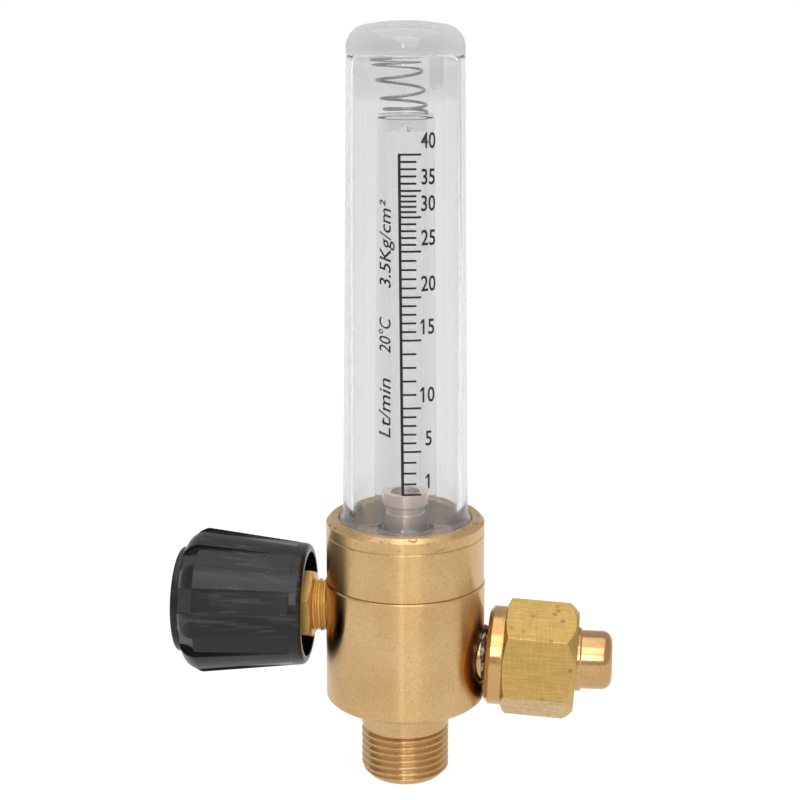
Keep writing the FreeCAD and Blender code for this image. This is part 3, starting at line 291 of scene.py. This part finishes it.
def clear_plastic(name, wall, inner, haze, wear):
    """Clear plastic that lets light through to what is behind it, a little hazy, with a painted highlight of milky
    white at its flare.
    wall is the tint of the cover's outside and inner that of the rest, and all of it darkens with
    thickness. What stands in the cover shows less than the cover does."""
    tree, shader, material = new_material(name, wall, 0.02)
    shader.inputs["Transmission Weight"].default_value = 1.0
    shader.inputs["Coat Roughness"].default_value = 0.03
    away, height = from_axis(tree)
    end = faded(tree, height, THICK_END)
    cover = combined(tree, "MAXIMUM", faded(tree, away, WALL_R), end)
    skin = combined(tree, "MAXIMUM", faded(tree, away, SKIN_R), end)
    tree.links.new(blended(tree, skin, inner, wall), shader.inputs["Base Color"])
    tree.links.new(spread(tree, cover, 1.035, 1.2, 0.0, 1.0), shader.inputs["IOR"])
    tree.links.new(spread(tree, cover, 0.06, 0.75, 0.0, 1.0), shader.inputs["Coat Weight"])
    depth = add(tree, "ShaderNodeVolumeAbsorption", {"Color": (0, 0, 0, 1), "Density": 20.0})
    output = tree.nodes["Material Output"]
    tree.links.new(depth.outputs["Volume"], output.inputs["Volume"])
    lines = noise(tree, (1, 1, 0.02), 420.0, 2.0)
    tree.links.new(spread(tree, lines, 0.0, wear), shader.inputs["Roughness"])
    bumped(tree, shader, lines, 0.01 * MM, 0.35)
    streaks = spread(tree, noise(tree, (1, 1, 0.012), 900.0, 3.0), haze * 0.6, haze * 1.5, 0.35, 0.7)
    # Painted highlight: milky white on the flare stands in for the bright ring of reflected light at the collar's
    # mouth, added to the haze streaks
    flare_painted_highlight = combined(tree, "MULTIPLY", faded(tree, height, FLARE_FADE, 1, 0),
                      faded(tree, away, FLARE_R, 0, 0.12))
    milky = add(tree, "ShaderNodeBsdfDiffuse", {"Color": (0.9, 0.88, 0.87, 1)}).outputs["BSDF"]
    haze_and_painted_highlight = combined(tree, "ADD", streaks, flare_painted_highlight)
    clouded_with_painted_highlight = add(tree, "ShaderNodeMixShader", {0: haze_and_painted_highlight, 1: shader.outputs["BSDF"], 2: milky})
    shadow = add(tree, "ShaderNodeLightPath").outputs["Is Shadow Ray"]
    passing = add(tree, "ShaderNodeBsdfTransparent", {"Color": (0.93, 0.93, 0.93, 1)}).outputs["BSDF"]
    mixed = add(tree, "ShaderNodeMixShader", {0: shadow, 1: clouded_with_painted_highlight.outputs["Shader"], 2: passing})
    tree.links.new(mixed.outputs["Shader"], output.inputs["Surface"])
    return material


def moulded(name, color, roughness):
    """Black moulded plastic, handled: rubbed patches, fine scratches along it, dust and rounded edges."""
    tree, shader, material = new_material(name, color, roughness)
    shader.inputs["IOR"].default_value = 1.42
    rubbed = noise(tree, (0.35, 1, 1), 160.0, 5.0)
    scratches = noise(tree, (0.06, 1, 1), 1500.0, 3.0)
    dust = noise(tree, (1, 1, 1), 1800.0, 4.0)
    scuffed = combined(tree, "MULTIPLY", rubbed, scratches)
    marked = blended(tree, spread(tree, scuffed, 0, 1, 0.27, 0.42), color, (0.06, 0.055, 0.055))
    dusty = mixed_color(tree, spread(tree, dust, 0, 0.7, 0.66, 0.74), marked, (0.09, 0.085, 0.08))
    tree.links.new(dusty, shader.inputs["Base Color"])
    tree.links.new(spread(tree, rubbed, roughness * 0.7, roughness * 1.35), shader.inputs["Roughness"])
    first = bumped(tree, shader, rubbed, 0.03 * MM, 0.35, edge_rounded(tree, 0.3))
    bumped(tree, shader, scratches, 0.008 * MM, 0.4, first)
    return material


def crumbled(name, color):
    """Dried thread sealant: white crumbs, with painted shade in the dark patches between them."""
    tree, shader, material = new_material(name, color, 0.6)
    lumps = noise(tree, (1, 1, 1), 900.0, 4.0)
    # Painted shade: the dark brown between the crumbs stands in for their shadows
    tree.links.new(blended(tree, spread(tree, lumps, 0, 1, 0.5, 0.6), (0.06, 0.035, 0.02), color),
                   shader.inputs["Base Color"])
    tree.links.new(spread(tree, lumps, 0.35, 0.8), shader.inputs["Roughness"])
    bumped(tree, shader, lumps, 0.15 * MM, 0.8)
    return material


def plain(name, color, roughness, scale, depth, metallic=0.0):
    """A plain material with a fine texture of that scale and depth in millimetres."""
    tree, shader, material = new_material(name, color, roughness, metallic)
    grain = noise(tree, (1, 1, 1), scale)
    rough = spread(tree, grain, roughness * 0.8, min(1.0, roughness * 1.25))
    tree.links.new(rough, shader.inputs["Roughness"])
    bumped(tree, shader, grain, depth * MM, 0.5)
    return material


def materials():
    """One material for each slot of the record."""
    return {
        "body_brass": brass("body_brass", (0.71, 0.48, 0.235), (0.655, 0.42, 0.19), 0.28, "Z", 60.0,
                            1.0, 0.3),
        "fitting_brass": brass("fitting_brass", (0.92, 0.6, 0.2), (0.84, 0.52, 0.15), 0.34, "X", 40.0,
                               0.3, 0.4, 0.6),
        "nipple_brass": brass("nipple_brass", (0.64, 0.4, 0.19), (0.5, 0.28, 0.12), 0.17, "X", 60.0, 0.5),
        "nut_brass": drawn_brass("nut_brass", (0.63, 0.405, 0.135), (0.52, 0.33, 0.1),
                                 (0.56, 0.34, 0.14), 0.3),
        "bronze": plain("bronze", (0.42, 0.26, 0.13), 0.6, 3000.0, 0.05, 1.0),
        "steel": plain("steel", (0.24, 0.24, 0.245), 0.25, 1500.0, 0.01, 1.0),
        "clear_plastic": clear_plastic("clear_plastic", (0.84, 0.84, 0.845), (0.99, 0.985, 0.98),
                                       0.04, 0.03),
        "black_plastic": moulded("black_plastic", (0.0085, 0.007, 0.0072), 0.26),
        "black_rubber": plain("black_rubber", (0.075, 0.062, 0.055), 0.6, 2000.0, 0.02),
        "white_sealant": crumbled("white_sealant", (0.6, 0.58, 0.53)),
    }


def dressed(name, mesh, body, slot, *replaced):
    """A visual piece from a mesh, riding on a body and finished as a slot."""
    piece = bpy.data.objects.new(name, mesh)
    bpy.context.scene.collection.objects.link(piece)
    mesh.materials.clear()
    mesh.materials.append(finishes[slot])
    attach(piece, body)
    if replaced:
        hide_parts(*replaced)
    return piece


def mesh_from(name, points, faces, smooth=True):
    """A mesh from points in metres."""
    mesh = bpy.data.meshes.new(name)
    mesh.from_pydata([tuple(p) for p in points], [], [tuple(f) for f in faces])
    mesh.polygons.foreach_set("use_smooth", [smooth] * len(mesh.polygons))
    mesh.update()
    return mesh


def threaded_sleeve(name, low, high, crest, depth, pitch, chamfers, hollow, place, fullness=0.75):
    """A closed sleeve along Z with a right-handed thread outside. chamfers are the radii at its two ends,
    and a lower fullness makes fuller crests."""
    heights = np.linspace(low, high, int((high - low) / pitch * ROWS_PER_TURN) + 1)
    turns = np.arange(COLUMNS) / COLUMNS
    z, turn = np.meshgrid(heights, turns, indexing="ij")
    wave = 0.5 + 0.5 * np.cos(2 * math.pi * (z / pitch - turn))
    radius = crest - depth * (1 - wave ** fullness)
    radius = np.minimum(radius, chamfers[0] + (z - low))
    radius = np.minimum(radius, chamfers[1] + (high - z))
    loops = [np.full(COLUMNS, hollow)] + list(radius) + [np.full(COLUMNS, hollow)]
    levels = [low] + list(heights) + [high]
    points = []
    for level, loop in zip(levels, loops):
        for share, r in zip(turns, loop):
            angle = 2 * math.pi * share
            points.append(place @ Vector((r * math.cos(angle), r * math.sin(angle), level)) * MM)
    faces = []
    count = len(levels)
    for row in range(count):
        above = (row + 1) % count
        for column in range(COLUMNS):
            beside = (column + 1) % COLUMNS
            faces.append((row * COLUMNS + column, row * COLUMNS + beside,
                          above * COLUMNS + beside, above * COLUMNS + column))
    return mesh_from(name, points, faces)


def shrunk_copy(node, turned_to_z, crest, new_radius, low, high):
    """A copy of a node's mesh whose wall of radius crest, from low to high along the axis, is drawn in."""
    mesh = nodes[node].data.copy()
    back = turned_to_z.inverted()
    for vertex in mesh.vertices:
        local = turned_to_z @ (vertex.co / MM)
        radius = math.hypot(local.x, local.y)
        if low < local.z < high and abs(radius - crest) < 0.05:
            local.x *= new_radius / radius
            local.y *= new_radius / radius
            vertex.co = back @ local * MM
    return mesh


def lathed(name, outline, segments=160, centre=(0.0, 0.0)):
    """A closed mesh turned about an upright axis from an outline of radii and heights in millimetres.
    An outline's first and last point may lie on the axis."""
    points, faces, rows = [], [], []
    for radius, height in outline:
        count = 1 if radius == 0 else segments
        rows.append([len(points) + column % count for column in range(segments)])
        for column in range(count):
            angle = 2 * math.pi * column / segments
            across = centre[0] + radius * math.cos(angle)
            along = centre[1] + radius * math.sin(angle)
            points.append(Vector((across, along, height)) * MM)
    closed = outline[0][0] != 0
    for low, high in zip(rows, rows[1:] + rows[:1] if closed else rows[1:]):
        for column in range(segments):
            beside = (column + 1) % segments
            corners = []
            for corner in (low[column], low[beside], high[beside], high[column]):
                if corner not in corners:
                    corners.append(corner)
            if len(corners) > 2:
                faces.append(corners)
    mesh = mesh_from(name, points, faces)
    mesh.set_sharp_from_angle(angle=math.radians(40))
    return mesh


def arc(centre, radius, start, end, steps=10):
    """Points of an arc in millimetres, its angles in degrees from the outward direction."""
    return [(centre[0] + radius * math.cos(math.radians(start + (end - start) * step / steps)),
             centre[1] + radius * math.sin(math.radians(start + (end - start) * step / steps)))
            for step in range(steps + 1)]


def clear_cover():
    """The cover: a clamped flange, a flare into the collar's mouth, a tapered wall, a thick end with a
    rounded bore under it, and the peg that hangs from the end."""
    outside = [(BORE_FOOT_R, COVER_FOOT), (FLANGE_R, COVER_FOOT)]
    outside += [(FLANGE_R, FLANGE_TOP), (NECK_R, FLANGE_TOP)]
    fall = (SHELL_R - HEAD_R) / (HEAD_LOW - SHELL_LOW)
    for step in range(13):
        share = step / 12
        height = FLARE_LOW + share * (FLARE_TOP - FLARE_LOW)
        wall = SHELL_R - fall * (height - SHELL_LOW)
        outside.append((wall + (NECK_R - wall) * (1 - share) ** 2, height))
    for step in range(1, 12):
        height = FLARE_TOP + step / 12 * (HEAD_LOW - FLARE_TOP)
        outside.append((SHELL_R - fall * (height - SHELL_LOW), height))
    outside += arc((HEAD_R - HEAD_ROUND, HEAD_LOW), HEAD_ROUND, 0, 80, 16)
    crown_r, crown = outside[-1]
    outside += [(crown_r * share, COVER_TOP - (COVER_TOP - crown) * share ** 2)
                for share in (0.8, 0.6, 0.4, 0.2)]
    bore = [(0, COVER_TOP), (0, BORE_END)]
    bore += [(BORE_FLAT_R + (BORE_HEAD_R - BORE_FLAT_R) * across, BORE_END - BORE_ROUND * (1 - rise))
             for across, rise in arc((0, 0), 1.0, 90, 0, 20)]
    shell = bpy.data.objects.new("shell", lathed("shell", outside + bore))
    peg_outline = [(0, PEG_LOW)] + arc((0, PEG_LOW + PEG_R), PEG_R, -80, 0, 8)
    peg_outline += [(PEG_R, BORE_END + 2.0), (0, BORE_END + 2.0)]
    peg = bpy.data.objects.new("peg", lathed("peg", peg_outline, 48, (PEG_OFFSET, 0.0)))
    for holder in (shell, peg):
        bpy.context.scene.collection.objects.link(holder)
    joined = shell.modifiers.new("joined", "BOOLEAN")
    joined.operation = "UNION"
    joined.object = peg
    mesh = bpy.data.meshes.new_from_object(shell.evaluated_get(bpy.context.evaluated_depsgraph_get()))
    for holder in (shell, peg):
        bpy.data.objects.remove(holder)
    mesh.set_sharp_from_angle(angle=math.radians(40))
    return dressed("cover_shell", mesh, "meter_body", "clear_plastic", "clear_cover")


def outlet_thread():
    """The thread on the outlet, and the body with its neck drawn in under it."""
    upright = Matrix.Identity(4)
    body_mesh = shrunk_copy("lower_body", upright, OUTLET_R, OUTLET_R - 1.6, 0.5, OUTLET_RUN + 0.1)
    dressed("body_casting", body_mesh, "meter_body", "body_brass", "lower_body")
    end_r = OUTLET_R - OUTLET_CHAMFER - 0.02
    sleeve = threaded_sleeve("outlet_thread", 0.02, OUTLET_RUN, OUTLET_R, OUTLET_DEPTH, OUTLET_PITCH,
                             (end_r, OUTLET_R - 0.35), OUTLET_R - 1.9, upright)
    dressed("outlet_thread", sleeve, "meter_body", "body_brass")


def bonnet_thread():
    """The bonnet's thread where it shows between the body and the hexagon."""
    lay = Matrix.Translation((0, 0, VALVE_HEIGHT)) @ Matrix.Rotation(math.radians(-90), 4, "Y")
    shrunk = shrunk_copy("valve_bonnet", lay.inverted(), BONNET_THREAD_R, BONNET_THREAD_R - 1.0,
                         0.0, BONNET_THREAD_END + 0.1)
    dressed("bonnet_hexagon", shrunk, "meter_body", "fitting_brass", "valve_bonnet")
    sleeve = threaded_sleeve("bonnet_thread", BONNET_THREAD_SHOWN, BONNET_THREAD_END, BONNET_THREAD_R,
                             BONNET_DEPTH, BONNET_PITCH, (BONNET_THREAD_R, BONNET_THREAD_R - 0.3),
                             BONNET_THREAD_R - 1.2, lay, 0.36)
    dressed("bonnet_thread", sleeve, "meter_body", "fitting_brass")


def sealant():
    """The thread sealant squeezed out round the nipple, crumbled where it dried."""
    rng = np.random.default_rng(5)
    around, across = 96, 14
    points, faces = [], []
    knots = rng.random((LUMPS, across)) * 0.5 + rng.random((LUMPS, 1)) * 0.9
    for column in range(around):
        share = column / around * LUMPS
        low = int(share)
        part = share - low
        row = knots[low % LUMPS] * (1 - part) + knots[(low + 1) % LUMPS] * part
        turn = 2 * math.pi * column / around
        for step in range(across):
            angle = 2 * math.pi * step / across
            swell = 0.16 + 0.3 * row[step]
            reach = SEALANT_X + swell * math.cos(angle) * 1.1
            radius = SEALANT_R + swell * (1.0 + math.sin(angle))
            side, level = radius * math.cos(turn), INLET_HEIGHT + radius * math.sin(turn)
            points.append(Vector((reach, side, level)) * MM)
    for column in range(around):
        beside = (column + 1) % around
        for step in range(across):
            after = (step + 1) % across
            faces.append((column * across + step, beside * across + step,
                          beside * across + after, column * across + after))
    mesh = mesh_from("sealant", points, faces)
    dressed("dried_sealant", mesh, "meter_body", "white_sealant", "nipple_sealant")


def nose_collar():
    """The step on the nipple, a little wider than its nose, at the nut's mouth."""
    inner, edge = NOSE_R - 0.6, 0.3
    outline = [(inner, NOSE_COLLAR_LOW), (NOSE_COLLAR_R, NOSE_COLLAR_LOW)]
    outline += [(NOSE_COLLAR_R, NOSE_COLLAR_HIGH - edge), (NOSE_COLLAR_R - edge, NOSE_COLLAR_HIGH)]
    outline += [(inner, NOSE_COLLAR_HIGH)]
    ring = lathed("nose_collar", outline, 96)
    lay = Matrix.Translation((0, 0, INLET_HEIGHT * MM)) @ Matrix.Rotation(math.radians(90), 4, "Y")
    ring.transform(lay)
    dressed("nose_collar", ring, "meter_body", "nipple_brass")


def on_cover(angle, height):
    """The point on the cover's outside at an angle, from the front to the right, and a height."""
    out = Vector((math.sin(math.radians(angle)), -math.cos(math.radians(angle)), 0))
    start = out * 40 * MM + Vector((0, 0, height * MM))
    hit = cover_surface.ray_cast(start, -out)[0]
    return hit + out * PRINT_LIFT * MM


def line_angle(height):
    """The angle of the scale's upright line at a height."""
    low, high = SCALE[0][1], SCALE[-1][1]
    share = (height - low) / (high - low)
    return LINE_BASE_ANGLE + share * (LINE_TOP_ANGLE - LINE_BASE_ANGLE)


def readings():
    """Every reading's height, and whether it has a long mark."""
    for (low, low_height), (high, high_height) in zip(SCALE, SCALE[1:]):
        for reading in range(low, high):
            share = (reading - low) / (high - low)
            yield low_height + share * (high_height - low_height), reading == low
    yield SCALE[-1][1], True


def scale_marks():
    """The upright line and the marks, laid on the cover."""
    points, faces = [], []

    def band(path, width, upright):
        first = len(points)
        for angle, height in path:
            half = width / 2
            if upright:
                around = math.degrees(half / MARK_R)
                points.extend([on_cover(angle - around, height), on_cover(angle + around, height)])
            else:
                points.extend([on_cover(angle, height + half), on_cover(angle, height - half)])
        for step in range(len(path) - 1):
            corner = first + 2 * step
            faces.append((corner, corner + 1, corner + 3, corner + 2))

    low, high = SCALE[0][1] - TICK_WIDTH / 2, SCALE[-1][1] + TICK_WIDTH / 2
    heights = np.linspace(low, high, 24)
    band([(line_angle(height), height) for height in heights], LINE_WIDTH, True)
    for height, long_mark in readings():
        start = line_angle(height)
        end = LONG_TICK if long_mark else SHORT_TICK
        band([(angle, height) for angle in np.linspace(start, end, 6)], TICK_WIDTH, False)
    dressed("scale_marks", mesh_from("scale_marks", points, faces, False), "meter_body", "black_plastic")


def wrapped_text(words, size, width, bold, angle, height, upright, lean=0.0):
    """Points and faces of words on the cover, centred at an angle and height. upright ones read upwards
    and are width millimetres long; the others are drawn narrower by width. A leading 1 has a flag."""
    curve = bpy.data.curves.new("words", "FONT")
    curve.body = words
    curve.size = size
    curve.align_x = "CENTER"
    curve.align_y = "CENTER"
    curve.shear = lean
    curve.offset = bold
    curve.resolution_u = 3
    holder = bpy.data.objects.new("words", curve)
    flat = bpy.data.meshes.new_from_object(holder)
    points = []
    places = [vertex.co.x for vertex in flat.vertices]
    shift = (max(places) + min(places)) / 2
    narrowed = width / (max(places) - min(places)) if upright else width
    corners = [(vertex.co.x, vertex.co.y) for vertex in flat.vertices]
    faces = [tuple(polygon.vertices) for polygon in flat.polygons]
    if words.startswith("1"):
        left = min(places)
        top = max(vertex.co.y for vertex in flat.vertices)
        faces.append(tuple(range(len(corners), len(corners) + 4)))
        corners += [(left - 0.55, top - 0.95), (left + 0.05, top - 0.6)]
        corners += [(left + 0.05, top), (left - 0.55, top - 0.5)]
    for x, y in corners:
        across, rise = (x - shift) * narrowed, y
        if upright:
            across, rise = -rise, across
        points.append(on_cover(angle + math.degrees(across / WORD_R), height + rise))
    bpy.data.objects.remove(holder)
    bpy.data.curves.remove(curve)
    bpy.data.meshes.remove(flat)
    return points, faces


def printed_words():
    """The readings' numbers and the units, as one mesh each."""
    numbers = [(str(reading), NUMBER_HEIGHT / 0.7, NUMBER_WIDTH, 0.055, NUMBER_ANGLE, height + NUMBER_RISE,
                False) for reading, height in SCALE]
    units = [(words, UNIT_HEIGHT / 0.7, length, 0.02, UNIT_ANGLE, height, True, 0.25)
             for words, height, length in UNITS]
    for name, group in (("scale_numbers", numbers), ("scale_units", units)):
        points, faces = [], []
        for item in group:
            more_points, more_faces = wrapped_text(*item)
            faces.extend(tuple(len(points) + index for index in face) for face in more_faces)
            points.extend(more_points)
        dressed(name, mesh_from(name, points, faces, False), "meter_body", "black_plastic")


def studio_floor():
    """A white floor that keeps the meter's shadow."""
    bpy.ops.mesh.primitive_plane_add(size=6)
    floor = bpy.context.object
    floor.name = "studio_floor"
    tree, shader, material = new_material("studio_floor", (0.22, 0.22, 0.22), 0.9)
    shader.inputs["Specular IOR Level"].default_value = 0.0
    path = add(tree, "ShaderNodeLightPath")
    seen = combined(tree, "MULTIPLY", path.outputs["Is Camera Ray"], FLOOR_SEEN)
    through = combined(tree, "MULTIPLY", path.outputs["Is Transmission Ray"], FLOOR_THROUGH)
    mirrored = combined(tree, "MULTIPLY", path.outputs["Is Glossy Ray"], FLOOR_MIRRORED)
    level = combined(tree, "MAXIMUM", seen, combined(tree, "MAXIMUM", through, mirrored))
    glow = add(tree, "ShaderNodeEmission", {"Color": (1, 1, 1, 1), "Strength": level})
    both = add(tree, "ShaderNodeAddShader")
    tree.links.new(shader.outputs["BSDF"], both.inputs[0])
    tree.links.new(glow.outputs["Emission"], both.inputs[1])
    tree.links.new(both.outputs[0], tree.nodes["Material Output"].inputs["Surface"])
    floor.data.materials.append(material)


def studio_light():
    """White surroundings, and soft lamps above and in front of the meter."""
    world = bpy.data.worlds.new("studio")
    bpy.context.scene.world = world
    world.use_nodes = True
    tree = world.node_tree
    background = tree.nodes["Background"]
    path = add(tree, "ShaderNodeLightPath")
    seen = combined(tree, "MAXIMUM", path.outputs["Is Camera Ray"], path.outputs["Is Transmission Ray"])
    tree.links.new(spread(tree, seen, SURROUNDINGS, 1.0, 0.0, 1.0), background.inputs["Strength"])
    background.inputs["Color"].default_value = (1, 1, 1, 1)
    turn, rise = CAMERA_TURN, math.radians(28)
    add_lamp("overhead", 0.0, math.radians(88), 0.8, (1.0, 0.9), 0.05, 1.0)
    add_lamp("front_box", turn + math.radians(4), math.radians(52), 0.7, (0.45, 0.32), 0.05, 2.1)
    add_lamp("narrow_strip", turn - math.radians(5.3), rise, 0.72, (0.055, 0.26), 0.02, 8.0)
    add_lamp("broad_strip", turn + math.radians(12), rise, 0.74, (0.22, 0.26), 0.02, 2.1)


def add_lamp(name, turn, rise, distance, size, foot, brightness):
    """A soft rectangular lamp, aimed at the meter's axis at height foot from a turn from the front and a
    rise, and so many times as bright as the white background. Sizes in metres."""
    lamp = bpy.data.lights.new(name, "AREA")
    lamp.shape = "RECTANGLE"
    lamp.size, lamp.size_y = size
    lamp.energy = brightness * math.pi * size[0] * size[1]
    holder = bpy.data.objects.new(name, lamp)
    bpy.context.scene.collection.objects.link(holder)
    way = Vector((math.sin(turn) * math.cos(rise), -math.cos(turn) * math.cos(rise), math.sin(rise)))
    holder.location = way * distance + Vector((0, 0, foot))
    holder.rotation_euler = way.to_track_quat("Z", "Y").to_euler()


def studio_camera():
    """The camera at the photograph's place."""
    camera = bpy.data.cameras.new("camera")
    camera.lens = CAMERA_LENS
    camera.sensor_width = 36
    camera.clip_start = 0.01
    holder = bpy.data.objects.new("camera", camera)
    bpy.context.scene.collection.objects.link(holder)
    holder.location = Matrix.Rotation(CAMERA_TURN, 3, "Z") @ CAMERA_PLACE
    holder.rotation_euler = (math.pi / 2 - CAMERA_PITCH, 0, CAMERA_TURN)
    bpy.context.scene.camera = holder


finishes = materials()
slot_of = {part["node"]: part["material_slot"] for part in frame["record"]["subparts"]}
for name, node in nodes.items():
    node.data.materials.clear()
    node.data.materials.append(finishes[slot_of[name]])

outlet_thread()
bonnet_thread()
sealant()
nose_collar()
cover_surface = BVHTree.FromObject(clear_cover(), bpy.context.evaluated_depsgraph_get())
scale_marks()
printed_words()
studio_floor()
studio_light()
studio_camera()
bpy.context.scene.view_settings.view_transform = "Standard"
